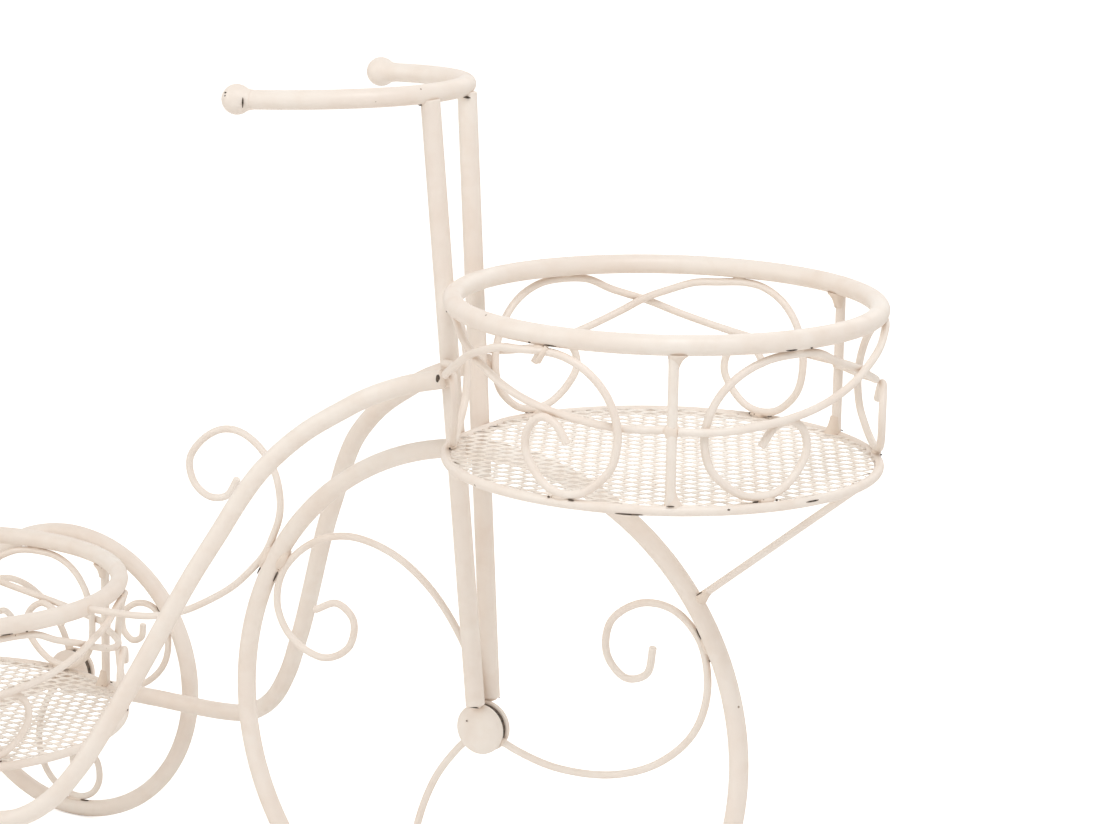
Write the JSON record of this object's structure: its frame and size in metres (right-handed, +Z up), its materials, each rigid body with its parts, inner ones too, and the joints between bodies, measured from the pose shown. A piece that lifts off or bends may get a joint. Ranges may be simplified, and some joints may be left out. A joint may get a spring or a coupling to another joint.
{
  "type": "plant stand",
  "caption": "Ornamental tricycle-shaped flower cart stand of bent tube and wire, with round open plant baskets over the front wheel and between the rear wheels.",
  "frame": {"origin": "middle of the footprint on the ground", "axes": "+X towards the front wheel, +Y to the stand's left, +Z up"},
  "size_m": [0.6826, 0.2766, 0.4892],
  "materials": {
    "ivory_paint": "cream powder coat, satin, slightly pitted at the welds",
    "ivory_paint_mesh": "cream powder coat on expanded metal sheet"
  },
  "bodies": {
    "root": {"basket_brace": "ivory_paint", "centre_scroll": "ivory_paint", "fork_tube_left": "ivory_paint", "fork_tube_right": "ivory_paint", "frame_rail_left": "ivory_paint", "frame_rail_right": "ivory_paint", "front_basket_post_1": "ivory_paint", "front_basket_post_2": "ivory_paint", "front_basket_scroll_1": "ivory_paint", "front_basket_scroll_2": "ivory_paint", "front_basket_scroll_3": "ivory_paint", "front_basket_scroll_4": "ivory_paint", "front_basket_scroll_5": "ivory_paint", "front_basket_scroll_6": "ivory_paint", "front_basket_top_ring": "ivory_paint", "front_basket_tray": "ivory_paint_mesh", "front_basket_tray_rod": "ivory_paint", "front_wheel_hub_left": "ivory_paint", "front_wheel_hub_right": "ivory_paint", "front_wheel_rim": "ivory_paint", "front_wheel_scroll_1": "ivory_paint", "front_wheel_scroll_2": "ivory_paint", "front_wheel_scroll_3": "ivory_paint", "handlebar": "ivory_paint", "handlebar_ball_left": "ivory_paint", "handlebar_ball_right": "ivory_paint", "rear_axle": "ivory_paint", "rear_basket_post_1": "ivory_paint", "rear_basket_post_2": "ivory_paint", "rear_basket_post_3": "ivory_paint", "rear_basket_scroll_1": "ivory_paint", "rear_basket_scroll_2": "ivory_paint", "rear_basket_scroll_3": "ivory_paint", "rear_basket_scroll_4": "ivory_paint", "rear_basket_scroll_5": "ivory_paint", "rear_basket_scroll_6": "ivory_paint", "rear_basket_top_ring": "ivory_paint", "rear_basket_tray": "ivory_paint_mesh", "rear_basket_tray_rod": "ivory_paint", "rear_wheel_hub_left_left": "ivory_paint", "rear_wheel_hub_left_right": "ivory_paint", "rear_wheel_hub_right_left": "ivory_paint", "rear_wheel_hub_right_right": "ivory_paint", "rear_wheel_rim_left": "ivory_paint", "rear_wheel_rim_right": "ivory_paint", "rear_wheel_scroll_left_1": "ivory_paint", "rear_wheel_scroll_left_2": "ivory_paint", "rear_wheel_scroll_left_3": "ivory_paint", "rear_wheel_scroll_right_1": "ivory_paint", "rear_wheel_scroll_right_2": "ivory_paint", "rear_wheel_scroll_right_3": "ivory_paint"}
  },
  "joints": []
}
